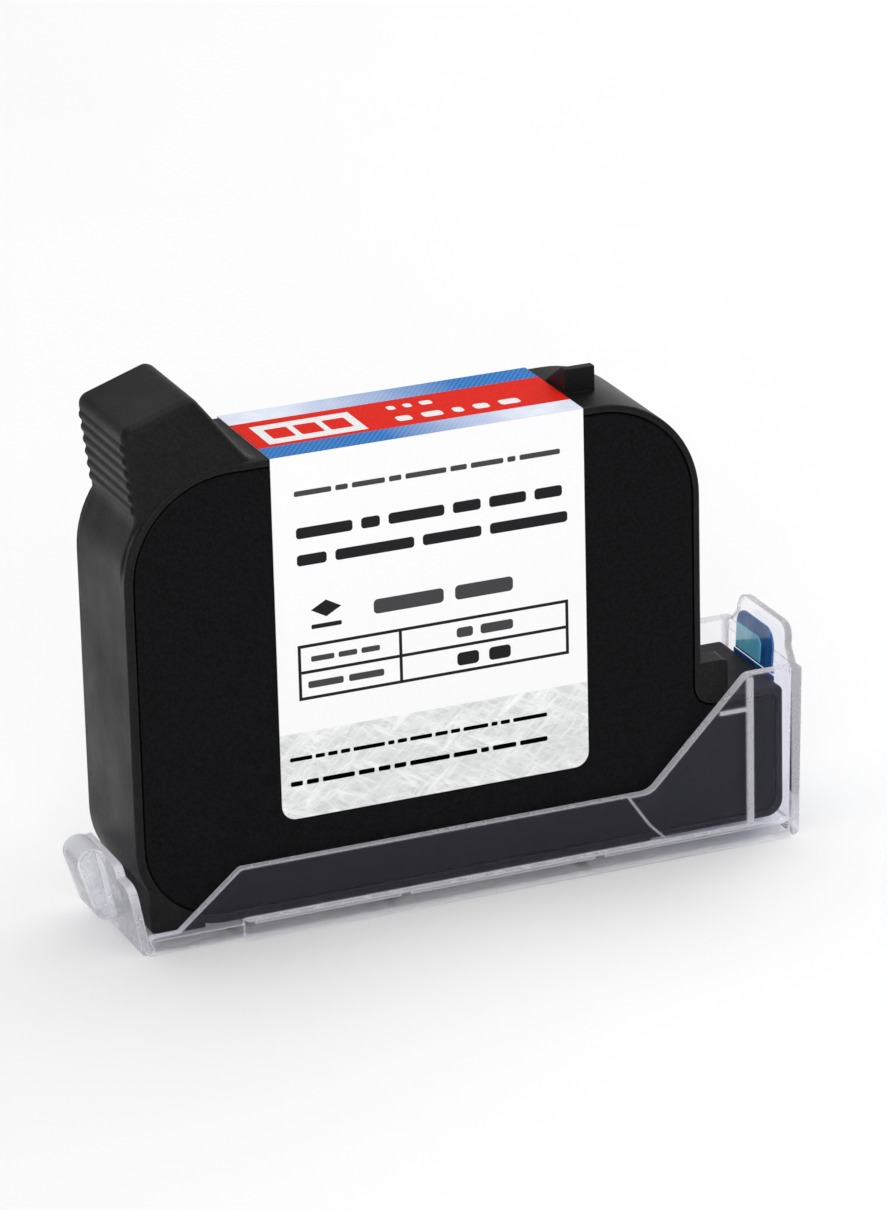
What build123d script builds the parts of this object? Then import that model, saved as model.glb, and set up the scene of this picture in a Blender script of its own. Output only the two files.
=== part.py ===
from build123d import *

import os

# A half-inch thermal inkjet print cartridge for date coding, standing in its clear protective clip.
# Millimetres. X runs along the cartridge towards the printhead foot, -Y is the labelled front,
# +Z is up. The origin is on the surface under the clip, in the middle of the overall length.

os.makedirs("parts", exist_ok=True)

# ---- cartridge body ----
BODY_LEFT = -44.9
BODY_RIGHT = 35.6
BODY_BOTTOM = 2.2
BODY_TOP = 64.7
BODY_WIDTH = 18.5
HALF = BODY_WIDTH / 2
LOW_CORNER_R = 12.0
TOP_CORNER_R = 14.5
TOP_LEFT_CORNER_R = 14.6
EDGE_R = 0.5
SINK = 1.0                      # how far a joined feature runs into what carries it
ON_FACE = 0.01                  # how near an edge lies to the face it is picked for

# ---- thumb handle at the top left ----
HANDLE_TOP_LEFT = (-44.2, 71.0)
HANDLE_TOP_RIGHT = (-34.4, 74.3)
HANDLE_RUNOUT_X = -26.9
HANDLE_END_X = -25.4
HANDLE_ROOT_Z = 44.0
HANDLE_SET_BACK = 0.35
HANDLE_EDGE_R = 1.4
HANDLE_TIP_R = 1.6
HANDLE_RUNOUT_R = 3.0
NECK = (-42.7, 58.4)
NECK_R = 3.0
SHOULDER_Z = 53.5
SHOULDER_R = 7.0
RIDGE_COUNT = 6
RIDGE_R = 0.9
RIDGE_SINK = 0.62
RIDGE_LOW = (-42.91, 60.2)
RIDGE_HIGH = (-43.91, 68.6)
RIDGE_MARGIN = 1.8

# ---- printhead foot at the right ----
FOOT_RIGHT = 47.4
FOOT_TOP = 21.3
FOOT_BOTTOM = 2.6
FOOT_LOW_R = 2.4
FOOT_STEP_X = 27.6
FOOT_TOP_R = 0.8

# ---- side covers, set flush into a rebate of the frame ----
COVER_LEFT = -43.6
COVER_RIGHT = 34.4
COVER_FOOT_RIGHT = 46.2
COVER_FOOT_TOP = 20.2
COVER_BOTTOM = 3.8
COVER_TOP = 63.6
COVER_T = 1.0
COVER_GAP = 0.22
COVER_LOW_R = 10.6
COVER_TOP_LEFT_R = 13.5
COVER_TOP_RIGHT_R = 13.3
COVER_WAIST_R = 3.0
COVER_FOOT_TOP_R = 0.8
COVER_FOOT_LOW_R = 2.0
COVER_EDGE_R = 0.25
LOCATING_RIB_T = 0.7
LOCATING_RIB_H = 0.6
LOCATING_RIB_GAP = 0.15

# ---- ink chamber and bag ----
CHAMBER_LEFT = -42.2
CHAMBER_RIGHT = 33.0
CHAMBER_BOTTOM = 4.9
CHAMBER_TOP = 62.2
CHAMBER_R = 11.0
CHAMBER_LOW_R = 9.5
CHAMBER_FOOT_R = 2.0
INNER_FRAME_T = 1.8
INNER_FRAME_HALF = 7.0
FILM_T = 0.1
FILM_INSET = 0.3
PLATE_T = 0.5
PLATE_INNER_Y = 6.1
PLATE_LEFT = -33.0
PLATE_RIGHT = 24.0
PLATE_BOTTOM = 13.0
PLATE_TOP = 54.0
PLATE_R = 6.0
GUARD_T = 0.25
GUARD_OVERHANG = 0.8
GUARD_OVERLAP = 2.5
SPRING_LENGTH = 34.0
SPRING_WIDTH = 10.0
SPRING_T = 0.3
FILL_PORT_X = -20.0
FILL_PORT_R = 2.0
FILL_PORT_TOP = 6.0
FILL_WAY_R = 1.5
FILL_WAY_TOP = 9.0
PLUG_BOTTOM = 2.4
PLUG_TOP = 4.7
OUTLET_Z = 12.0
OUTLET_R = 1.6
OUTLET_LEFT = 29.0
OUTLET_RIGHT = 37.0

# ---- filters and printhead ----
FILTER_LEFT = 37.2
FILTER_RIGHT = 45.0
FILTER_BOTTOM = 7.0
FILTER_TOP = 18.4
FILTER_POCKET_Y = 5.2
FILTER_T = 0.15
FILTER_R = 1.0
FILTER_GAP = 0.1
GALLERY_LEFT = 39.4
GALLERY_RIGHT = 42.8
GALLERY_BOTTOM = 9.5
PLENUM_LEFT = 34.0
PLENUM_RIGHT = 43.4
PLENUM_HALF = 1.2
PLENUM_TOP = 14.5
DIE_X = 37.4
DIE_LENGTH = 13.6
DIE_WIDTH = 4.6
DIE_T = 0.6
DIE_GAP = 0.1
INK_SLOT_LENGTH = 11.9
INK_SLOT_WIDTH = 0.5
NOZZLE_PLATE_T = 0.06
NOZZLE_PLATE_INSET = 0.1
FLEX_LEFT = 28.4
FLEX_HALF = 6.2
FLEX_T = 0.1
FLEX_TOP = 18.6
PAD_COLUMNS = 4
PAD_ROWS = 13
PAD_PITCH_Y = 2.6
PAD_PITCH_Z = 1.02
PAD_HEIGHT = 0.72
PAD_LENGTH = 1.152
PAD_T = 0.03
PAD_LOW_Z = 5.9
BEAD_R = 0.45
BEAD_T = 0.14
BEAD_OFFSET = 0.3
BEAD_CORNER_R = 0.405

# ---- nozzle tape and its pull tab ----
TAPE_LEFT = 28.9
TAPE_HALF = 6.0
TAPE_T = 0.1
TAPE_DROP = 0.26
TAPE_TOP = 21.42
TAB_HINGE = (47.72, 21.6)
TAB_T = 0.3
TAB_HALF = 5.5
TAB_HEIGHT = 5.9
TAB_R = 2.4
TAB_LEAN = 3.0
PANEL_T = 0.08
PANEL_HEIGHT = 3.5
PANEL_START_Y = -2.1
PANEL_END_Y = 5.35
PANEL_LOW = 0.3
PANEL_FREE_R = 1.2
PANEL_EDGE_R = 0.4

# ---- label wrapped over the top ----
LABEL_LEFT = -24.7
LABEL_RIGHT = 18.9
LABEL_BOTTOM = 14.9
LABEL_T = 0.1
LABEL_R = 2.0

# ---- small features of the frame ----
FIN_LEFT = 19.2
FIN_RIGHT = 23.5
FIN_HEIGHT = 3.3
FIN_FRONT_Y = -2.8
FIN_CREST = 1.3
FIN_BACK_Y = 3.6
FIN_ROOT = 0.5
HOOK_RIGHT = 39.4
HOOK_TOP = 26.4
HOOK_DEPTH = 3.4
HOOK_R = 0.7
CATCH_LEFT = -43.4
CATCH_RIGHT = -36.0
CATCH_TOP = 8.5
CATCH_NOTCH_HALF = 4.6
CATCH_NOTCH = 0.8
CATCH_NOTCH_LOW = 5.0
CATCH_R = 1.0

# ---- clear clip ----
CLIP_LEFT = -44.1
CLIP_RIGHT = 49.0
CLIP_FLARE = 0.5
CLIP_HALF = 10.65
CLIP_WALL = 1.05
CLIP_END_WALL = 1.0
CLIP_FLOOR = 1.6
CLIP_LIP = 2.6
CLIP_RAIL = 9.9
CLIP_TOP = 24.3
CLIP_RAMP_LEFT = (-40.0, -31.2)
CLIP_RAMP_RIGHT = (27.2, 41.5)
CLIP_LIP_R = 0.6
CLIP_RAIL_LEFT_R = 1.2
CLIP_RAIL_RIGHT_R = 2.6
CLIP_RAMP_R = 1.6
CLIP_END_TOP_R = 0.4
CLIP_END_LOW_R = 0.8
CLIP_INNER_R = 1.0
CLIP_CLEAR = 20.0                 # how far the hollow is cut beyond the clip's own edges
CLIP_STEP = 0.3
CLIP_STEP_LINE = [(23.4, 10.6), (27.0, 5.3), (32.2, 0.0)]
REST_RIB_X = [-30.0, -8.0, 20.0]
REST_RIB_T = 1.4
FLANGE_LEFT = -31.0
FLANGE_RIGHT = 47.6
FLANGE_HALF = 11.6
FLANGE_TOP = 2.8
FLANGE_END_R = 0.8
POST_RIB_X = 41.8
POST_RIB_T = 0.8
POST_RIB_PROUD = 0.3
POST_RIB_LOW = 2.4
POST_RIB_HIGH = 23.8
RIB_SINK = 0.2
SPUR_RIB_LEFT = 37.4
SPUR_RIB_Z = 19.2
SPUR_RIB_T = 0.5
THUMB_HALF = 7.4
THUMB_FLARE = 1.7
THUMB_HEIGHT = 4.5
THUMB_R = 2.2
THUMB_LEAN = 7.0
THUMB_ROOT = 1.5
THUMB_ROOT_R = 0.5
THUMB_WAIST_R = 1.0

# ---- release lever of the clip ----
LEVER_AXIS = (-44.6, 0.9)
LEVER_KNUCKLE_R = 0.75
LEVER_KNUCKLE_GAP = 0.15
LEVER_T = 1.2
LEVER_HALF = 10.4
LEVER_LEAN = 10.0
LEVER_SIDE_H = 9.2
LEVER_MID_H = 10.8
LEVER_MID_HALF = 6.6
LEVER_SIDE_R = 1.6
LEVER_MID_R = 1.2
LEVER_MID_LOW = 2.0
LEVER_HOOK_H = (4.9, 6.8)
LEVER_HOOK_OUT = 0.6
LEVER_HOOK_HALF = 4.0
LEVER_HOOK_FLAT = 0.4
FINGER_TOP = (-48.8, 11.0)
FINGER_ROOT = (-46.9, 4.8)
FINGER_R = 2.05
FINGER_HALF = 2.8
FINGER_WEB = 4.6
FINGER_RIM = 0.5


# ---------------------------------------------------------------- helpers
def outline(corners):
    """Flat face from (x, z, corner radius) triples, drawn in the XY plane."""
    points = [(x, z) for x, z, _ in corners]
    radii = [r for _, _, r in corners]
    return make_face(FilletPolyline(*points, radius=radii, close=True))


def slab(face, y_from, y_to):
    """Stands a flat outline up in the XZ plane and fills it between two depths."""
    standing = Pos(0, y_to, 0) * (Plane.XZ * face)
    return extrude(standing, amount=y_to - y_from, dir=(0, -1, 0))


def block(x0, x1, y0, y1, z0, z1):
    """Box between two corners."""
    centre = Pos((x0 + x1) / 2, (y0 + y1) / 2, (z0 + z1) / 2)
    return centre * Box(x1 - x0, y1 - y0, z1 - z0)


def rod_y(x, z, radius, half):
    """Cylinder along Y, centred on the middle plane."""
    return Pos(x, 0, z) * Rot(90, 0, 0) * Cylinder(radius, 2 * half)


def bore_x(x_from, x_to, z, radius):
    """Cylinder along X between two stations, on the middle plane."""
    return Pos((x_from + x_to) / 2, 0, z) * Rot(0, 90, 0) * Cylinder(radius, x_to - x_from)


def rod_z(x, z_from, z_to, radius):
    """Upright cylinder on the middle plane."""
    return Pos(x, 0, (z_from + z_to) / 2) * Cylinder(radius, z_to - z_from)


def wrap_strip(x_start, x_end, z_low, z_high, radius, thickness):
    """Outline of a thin strip under the foot and up its end face, round its low corner."""
    corners = [
        (x_start, z_low, 0),
        (x_end, z_low, radius),
        (x_end, z_high, 0),
        (x_end + thickness, z_high, 0),
        (x_end + thickness, z_low - thickness, radius + thickness),
        (x_start, z_low - thickness, 0),
    ]
    return outline(corners)


def save(name, shape):
    """Writes one sub-part to its own STEP file."""
    shape.label = name
    export_step(shape, os.path.join("parts", name + ".step"))


# ---------------------------------------------------------------- outlines
def body_outline():
    return outline([
        (BODY_LEFT, BODY_BOTTOM, LOW_CORNER_R),
        (BODY_LEFT, BODY_TOP, TOP_LEFT_CORNER_R),
        (BODY_RIGHT, BODY_TOP, TOP_CORNER_R),
        (BODY_RIGHT, FOOT_TOP, FOOT_TOP_R),
        (FOOT_RIGHT, FOOT_TOP, FOOT_TOP_R),
        (FOOT_RIGHT, FOOT_BOTTOM, FOOT_LOW_R),
        (FOOT_STEP_X + FOOT_BOTTOM - BODY_BOTTOM, FOOT_BOTTOM, 0),
        (FOOT_STEP_X, BODY_BOTTOM, 0),
    ])


def handle_outline():
    """Handle with its neck and the ramp that runs out on the top of the body."""
    return outline([
        (BODY_LEFT, HANDLE_ROOT_Z, 0),
        (BODY_LEFT, SHOULDER_Z, SHOULDER_R),
        (*NECK, NECK_R),
        (*HANDLE_TOP_LEFT, HANDLE_TIP_R),
        (*HANDLE_TOP_RIGHT, HANDLE_TIP_R),
        (HANDLE_RUNOUT_X, BODY_TOP, HANDLE_RUNOUT_R),
        (HANDLE_END_X, BODY_TOP, 0),
        (HANDLE_END_X, HANDLE_ROOT_Z, 0),
    ])


def cover_outline():
    return outline([
        (COVER_LEFT, COVER_BOTTOM, COVER_LOW_R),
        (COVER_LEFT, COVER_TOP, COVER_TOP_LEFT_R),
        (COVER_RIGHT, COVER_TOP, COVER_TOP_RIGHT_R),
        (COVER_RIGHT, COVER_FOOT_TOP, COVER_WAIST_R),
        (COVER_FOOT_RIGHT, COVER_FOOT_TOP, COVER_FOOT_TOP_R),
        (COVER_FOOT_RIGHT, COVER_BOTTOM, COVER_FOOT_LOW_R),
    ])


def chamber_outline():
    return outline([
        (CHAMBER_LEFT, CHAMBER_BOTTOM, CHAMBER_LOW_R),
        (CHAMBER_LEFT, CHAMBER_TOP, CHAMBER_R),
        (CHAMBER_RIGHT, CHAMBER_TOP, CHAMBER_R),
        (CHAMBER_RIGHT, CHAMBER_BOTTOM, CHAMBER_FOOT_R),
    ])


def plate_outline():
    return outline([
        (PLATE_LEFT, PLATE_BOTTOM, PLATE_R),
        (PLATE_LEFT, PLATE_TOP, PLATE_R),
        (PLATE_RIGHT, PLATE_TOP, PLATE_R),
        (PLATE_RIGHT, PLATE_BOTTOM, PLATE_R),
    ])


def filter_outline():
    return outline([
        (FILTER_LEFT, FILTER_BOTTOM, FILTER_R),
        (FILTER_LEFT, FILTER_TOP, FILTER_R),
        (FILTER_RIGHT, FILTER_TOP, FILTER_R),
        (FILTER_RIGHT, FILTER_BOTTOM, FILTER_R),
    ])


# ---------------------------------------------------------------- cartridge
def edges_at(solid, y):
    """Edges that lie in the upright plane at this depth."""
    return [edge for edge in solid.edges() if abs(edge.center().Y - y) < ON_FACE]


def rounded_slab(face, half, radius):
    """Slab about the middle plane, with its front and back edges rounded."""
    solid = slab(face, -half, half)
    return fillet(edges_at(solid, -half) + edges_at(solid, half), radius)


def handle_ridges():
    """Low, round-ended grip ridges across the left face of the handle."""
    ridges = []
    for i in range(RIDGE_COUNT):
        share = i / (RIDGE_COUNT - 1)
        x = RIDGE_LOW[0] + share * (RIDGE_HIGH[0] - RIDGE_LOW[0]) + RIDGE_SINK
        z = RIDGE_LOW[1] + share * (RIDGE_HIGH[1] - RIDGE_LOW[1])
        half = HALF - RIDGE_MARGIN
        ridge = rod_y(x, z, RIDGE_R, half)
        for end in (-half, half):
            ridge += Pos(x, end, z) * Sphere(RIDGE_R)
        ridges.append(ridge)
    return ridges


def latch_fin():
    """Wedge on the top, upright at the front and sloping away to the back."""
    profile = Plane.YZ * make_face(Polyline(
        (FIN_FRONT_Y, BODY_TOP - FIN_ROOT),
        (FIN_FRONT_Y, BODY_TOP + FIN_HEIGHT),
        (FIN_FRONT_Y + FIN_CREST, BODY_TOP + FIN_HEIGHT),
        (FIN_BACK_Y, BODY_TOP),
        (FIN_BACK_Y, BODY_TOP - FIN_ROOT),
        close=True,
    ))
    return extrude(Pos(FIN_LEFT, 0, 0) * profile, amount=FIN_RIGHT - FIN_LEFT, dir=(1, 0, 0))


def foot_passages():
    """Ink way inside the foot: filter pockets on both sides, a plenum and the outlet bore."""
    pocket = filter_outline()
    pockets = slab(pocket, -HALF, -FILTER_POCKET_Y) + slab(pocket, FILTER_POCKET_Y, HALF)
    gallery = block(GALLERY_LEFT, GALLERY_RIGHT, -FILTER_POCKET_Y, FILTER_POCKET_Y,
                    GALLERY_BOTTOM, PLENUM_TOP)
    plenum = block(PLENUM_LEFT, PLENUM_RIGHT, -PLENUM_HALF, PLENUM_HALF, FOOT_BOTTOM, PLENUM_TOP)
    outlet = bore_x(CHAMBER_RIGHT - SINK, OUTLET_RIGHT, OUTLET_Z, OUTLET_R)
    half_length = DIE_LENGTH / 2 + DIE_GAP
    half_width = DIE_WIDTH / 2 + DIE_GAP
    seat = block(DIE_X - half_length, DIE_X + half_length, -half_width, half_width,
                 FOOT_BOTTOM, FOOT_BOTTOM + DIE_T)
    return pockets + gallery + plenum + outlet + seat


def cartridge_frame():
    """Moulded ring with the handle, the foot, the latch fin, datum hooks and corner catch."""
    ring = rounded_slab(body_outline(), HALF, EDGE_R)
    ring += rounded_slab(handle_outline(), HALF - HANDLE_SET_BACK, HANDLE_EDGE_R)
    for ridge in handle_ridges():
        ring += ridge
    ring += latch_fin()
    for side in (-1, 1):
        hook = outline([
            (BODY_RIGHT - SINK, FOOT_TOP - SINK, 0),
            (BODY_RIGHT - SINK, HOOK_TOP, 0),
            (HOOK_RIGHT, HOOK_TOP, HOOK_R),
            (HOOK_RIGHT, FOOT_TOP - SINK, 0),
        ])
        near, far = sorted((side * (HALF - HOOK_DEPTH), side * HALF))
        ring += slab(hook, near, far)
    catch = outline([
        (CATCH_LEFT, BODY_BOTTOM, CATCH_R),
        (CATCH_LEFT, CATCH_TOP, 0),
        (CATCH_RIGHT, CATCH_TOP, 0),
        (CATCH_RIGHT, BODY_BOTTOM, 0),
    ])
    ring += slab(catch, -HALF, HALF)
    ring -= block(BODY_LEFT, CATCH_LEFT + CATCH_NOTCH, -CATCH_NOTCH_HALF, CATCH_NOTCH_HALF,
                  CATCH_NOTCH_LOW, CATCH_TOP)
    ring -= slab(chamber_outline(), -HALF - SINK, HALF + SINK)
    rebate = offset(cover_outline(), amount=COVER_GAP)
    ring -= slab(rebate, -HALF - SINK, -HALF + COVER_T)
    ring -= slab(rebate, HALF - COVER_T, HALF + SINK)
    ring -= foot_passages()
    ring -= rod_z(FILL_PORT_X, BODY_BOTTOM - SINK, FILL_PORT_TOP, FILL_PORT_R)
    return ring


def side_cover(side):
    """Flush side cover with a locating rib that runs just inside the frame wall."""
    inner = side * (HALF - COVER_T)
    plate = slab(cover_outline(), *sorted((side * HALF, inner)))
    plate = fillet(edges_at(plate, side * HALF), COVER_EDGE_R)
    rib_outer = offset(chamber_outline(), amount=-LOCATING_RIB_GAP)
    rib_inner = offset(chamber_outline(), amount=-LOCATING_RIB_GAP - LOCATING_RIB_T)
    rib = slab(rib_outer - rib_inner, *sorted((inner, inner - side * LOCATING_RIB_H)))
    return plate + rib


def inner_frame():
    """Softer ring inside the frame that carries the two bag films."""
    outer = chamber_outline()
    inner = offset(outer, amount=-INNER_FRAME_T)
    ring = slab(outer - inner, -INNER_FRAME_HALF, INNER_FRAME_HALF)
    ring -= bore_x(OUTLET_LEFT, CHAMBER_RIGHT + SINK, OUTLET_Z, OUTLET_R)
    ring -= rod_z(FILL_PORT_X, CHAMBER_BOTTOM - SINK, FILL_WAY_TOP, FILL_WAY_R)
    return ring


def bag_film(side):
    face = offset(chamber_outline(), amount=-FILM_INSET)
    near = side * INNER_FRAME_HALF
    return slab(face, *sorted((near, near + side * FILM_T)))


def pressure_plate(side):
    near = side * PLATE_INNER_Y
    return slab(plate_outline(), *sorted((near, near + side * PLATE_T)))


def edge_guard(side):
    """Thin plastic border that keeps the plate's edge off the film."""
    ring = offset(plate_outline(), amount=GUARD_OVERHANG) - offset(plate_outline(), amount=-GUARD_OVERLAP)
    near = side * (PLATE_INNER_Y + PLATE_T)
    return slab(ring, *sorted((near, near + side * GUARD_T)))


def bow_spring():
    """Two bowed leaves joined at their ends, pressing the plates apart."""
    centre_x = (PLATE_LEFT + PLATE_RIGHT) / 2
    centre_z = (PLATE_BOTTOM + PLATE_TOP) / 2
    outer = Ellipse(SPRING_LENGTH / 2, PLATE_INNER_Y)
    inner = Ellipse(SPRING_LENGTH / 2 - SPRING_T, PLATE_INNER_Y - SPRING_T)
    ring = extrude(outer - inner, amount=SPRING_WIDTH)
    return Pos(centre_x, 0, centre_z - SPRING_WIDTH / 2) * ring


def filter_screen(side):
    near = side * FILTER_POCKET_Y
    return slab(offset(filter_outline(), amount=-FILTER_GAP), *sorted((near, near + side * FILTER_T)))


def fill_port_plug():
    return rod_z(FILL_PORT_X, PLUG_BOTTOM, PLUG_TOP, FILL_PORT_R)


def printhead_die():
    """Silicon die in its seat, with the ink slot through it."""
    die = Pos(DIE_X, 0, FOOT_BOTTOM + DIE_T / 2) * Box(DIE_LENGTH, DIE_WIDTH, DIE_T)
    slot = Pos(DIE_X, 0, FOOT_BOTTOM + DIE_T / 2) * Box(INK_SLOT_LENGTH, INK_SLOT_WIDTH, DIE_T)
    return die - slot


def nozzle_plate():
    trim = 2 * NOZZLE_PLATE_INSET
    plate = Box(DIE_LENGTH - trim, DIE_WIDTH - trim, NOZZLE_PLATE_T)
    return Pos(DIE_X, 0, FOOT_BOTTOM - NOZZLE_PLATE_T / 2) * plate


def flex_circuit():
    """Polyimide strip under the foot and up its end face, with a window round the nozzles."""
    strip = wrap_strip(FLEX_LEFT, FOOT_RIGHT, FOOT_BOTTOM, FLEX_TOP, FOOT_LOW_R, FLEX_T)
    circuit = slab(strip, -FLEX_HALF, FLEX_HALF)
    return circuit - Pos(DIE_X, 0, FOOT_BOTTOM) * Box(DIE_LENGTH, DIE_WIDTH, 2 * FLEX_T + SINK)


def contact_pads():
    """Gold pads on the end face, in even columns and rows."""
    pads = []
    x = FOOT_RIGHT + FLEX_T + PAD_T / 2
    for column in range(PAD_COLUMNS):
        y = (column - (PAD_COLUMNS - 1) / 2) * PAD_PITCH_Y
        for row in range(PAD_ROWS):
            z = PAD_LOW_Z + row * PAD_PITCH_Z
            pads.append(Pos(x, y, z) * Box(PAD_T, PAD_LENGTH, PAD_HEIGHT))
    return Compound(children=pads)


def encapsulant_beads():
    """Two beads of sealant over the leads at the ends of the nozzle window."""
    beads = []
    low = FOOT_BOTTOM - FLEX_T
    reach = DIE_LENGTH / 2 + BEAD_OFFSET
    for x in (DIE_X - reach, DIE_X + reach):
        bead = Pos(x, 0, low - BEAD_T / 2) * Box(2 * BEAD_R, DIE_WIDTH, BEAD_T)
        beads.append(fillet(bead.edges().filter_by(Axis.Z), BEAD_CORNER_R))
    return Compound(children=beads)


def label():
    """Thin sheet glued over the front, the top and the back."""
    outer = HALF + LABEL_T
    panel = outline([
        (LABEL_LEFT, LABEL_BOTTOM, LABEL_R),
        (LABEL_LEFT, BODY_TOP + LABEL_T, 0),
        (LABEL_RIGHT, BODY_TOP + LABEL_T, 0),
        (LABEL_RIGHT, LABEL_BOTTOM, LABEL_R),
    ])
    sheet = slab(panel, -outer, outer)
    return sheet - block(LABEL_LEFT - SINK, LABEL_RIGHT + SINK, -HALF, HALF, LABEL_BOTTOM - SINK, BODY_TOP)


def nozzle_tape():
    """Blue tape over the nozzles and contacts, up to the top of the foot."""
    gap = TAPE_DROP - TAPE_T
    strip = wrap_strip(TAPE_LEFT, FOOT_RIGHT + FLEX_T + PAD_T, FOOT_BOTTOM - FLEX_T - gap,
                       TAPE_TOP, FOOT_LOW_R + FLEX_T, TAPE_T)
    return slab(strip, -TAPE_HALF, TAPE_HALF)


def tab_frame():
    """Frame of the pull tab: rises from the fold line, leaning away from the foot."""
    return Pos(TAB_HINGE[0], 0, TAB_HINGE[1]) * Rot(0, TAB_LEAN, 0)


def pull_tab():
    """Stiff end of the tape that stands up beside the clip's end wall."""
    face = Plane.YZ * outline([
        (-TAB_HALF, 0, 0),
        (-TAB_HALF, TAB_HEIGHT, TAB_R),
        (TAB_HALF, TAB_HEIGHT, TAB_R),
        (TAB_HALF, 0, 0),
    ])
    return tab_frame() * extrude(Pos(-TAB_T / 2, 0, 0) * face, amount=TAB_T, dir=(1, 0, 0))


def pull_tab_panel():
    """Lighter patch on the face of the pull tab that looks along the foot."""
    face = Plane.YZ * outline([
        (PANEL_START_Y, PANEL_LOW, 0),
        (PANEL_START_Y, PANEL_LOW + PANEL_HEIGHT, PANEL_FREE_R),
        (PANEL_END_Y, PANEL_LOW + PANEL_HEIGHT, PANEL_EDGE_R),
        (PANEL_END_Y, PANEL_LOW, 0),
    ])
    x = -TAB_T / 2 - PANEL_T
    return tab_frame() * extrude(Pos(x, 0, 0) * face, amount=PANEL_T, dir=(1, 0, 0))


# ---------------------------------------------------------------- clip
def clip_profile():
    return outline([
        (CLIP_LEFT, 0, 0),
        (CLIP_LEFT, CLIP_LIP, CLIP_LIP_R),
        (CLIP_RAMP_LEFT[0], CLIP_LIP, CLIP_LIP_R),
        (CLIP_RAMP_LEFT[1], CLIP_RAIL, CLIP_RAIL_LEFT_R),
        (CLIP_RAMP_RIGHT[0], CLIP_RAIL, CLIP_RAIL_RIGHT_R),
        (CLIP_RAMP_RIGHT[1], CLIP_TOP, CLIP_RAMP_R),
        (CLIP_RIGHT + CLIP_FLARE, CLIP_TOP, CLIP_END_TOP_R),
        (CLIP_RIGHT, 0, CLIP_END_LOW_R),
    ])


def clip_step_region():
    """Part of the clip to the right of the step line, where its walls stand proud."""
    return make_face(Polyline(
        *CLIP_STEP_LINE,
        (CLIP_RIGHT + CLIP_CLEAR, 0),
        (CLIP_RIGHT + CLIP_CLEAR, CLIP_TOP + SINK),
        (CLIP_RAMP_RIGHT[1], CLIP_TOP + SINK),
        close=True,
    ))


def thumb_tab():
    """Flared tab on top of the end wall."""
    wide = THUMB_HALF + THUMB_FLARE
    face = outline([
        (-wide, -THUMB_ROOT, 0),
        (-wide, 0, THUMB_ROOT_R),
        (-THUMB_HALF, THUMB_FLARE, THUMB_WAIST_R),
        (-THUMB_HALF, THUMB_HEIGHT, THUMB_R),
        (THUMB_HALF, THUMB_HEIGHT, THUMB_R),
        (THUMB_HALF, THUMB_FLARE, THUMB_WAIST_R),
        (wide, 0, THUMB_ROOT_R),
        (wide, -THUMB_ROOT, 0),
    ])
    tab = extrude(Plane.YZ * face, amount=-CLIP_END_WALL)
    return Pos(CLIP_RIGHT + CLIP_FLARE, 0, CLIP_TOP) * Rot(0, THUMB_LEAN, 0) * tab


def clip_tray():
    """One clear moulding: floor with its base flange, side walls, end wall with a thumb tab, and ribs."""
    profile = clip_profile()
    tray = slab(profile, -CLIP_HALF, CLIP_HALF)
    wide = CLIP_HALF + CLIP_STEP
    tray += slab(profile & clip_step_region(), -wide, wide)
    flange = block(FLANGE_LEFT, FLANGE_RIGHT, -FLANGE_HALF, FLANGE_HALF, 0, FLANGE_TOP)
    tray += fillet(flange.edges().filter_by(Axis.Z), FLANGE_END_R)
    inner_right = CLIP_RIGHT - CLIP_END_WALL
    open_top = CLIP_TOP + CLIP_CLEAR
    hollow = outline([
        (CLIP_LEFT - CLIP_CLEAR, CLIP_FLOOR, 0),
        (CLIP_LEFT - CLIP_CLEAR, open_top, 0),
        (inner_right + CLIP_FLARE * open_top / CLIP_TOP, open_top, 0),
        (inner_right, CLIP_FLOOR, CLIP_INNER_R),
    ])
    inner_half = CLIP_HALF - CLIP_WALL
    tray -= slab(hollow, -inner_half, inner_half)
    tray += thumb_tab()
    for x in REST_RIB_X:
        tray += block(x - REST_RIB_T / 2, x + REST_RIB_T / 2, -inner_half, inner_half,
                      CLIP_FLOOR - RIB_SINK, BODY_BOTTOM)
    for side in (-1, 1):
        low, high = sorted((side * (wide - RIB_SINK), side * (wide + POST_RIB_PROUD)))
        tray += block(POST_RIB_X - POST_RIB_T / 2, POST_RIB_X + POST_RIB_T / 2, low, high,
                      POST_RIB_LOW, POST_RIB_HIGH)
        low, high = sorted((side * (wide - RIB_SINK), side * (wide + POST_RIB_PROUD / 2)))
        tray += block(SPUR_RIB_LEFT, POST_RIB_X, low, high, SPUR_RIB_Z, SPUR_RIB_Z + SPUR_RIB_T)
    tray -= rod_y(*LEVER_AXIS, LEVER_KNUCKLE_R + LEVER_KNUCKLE_GAP, CLIP_HALF + SINK)
    return tray


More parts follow.
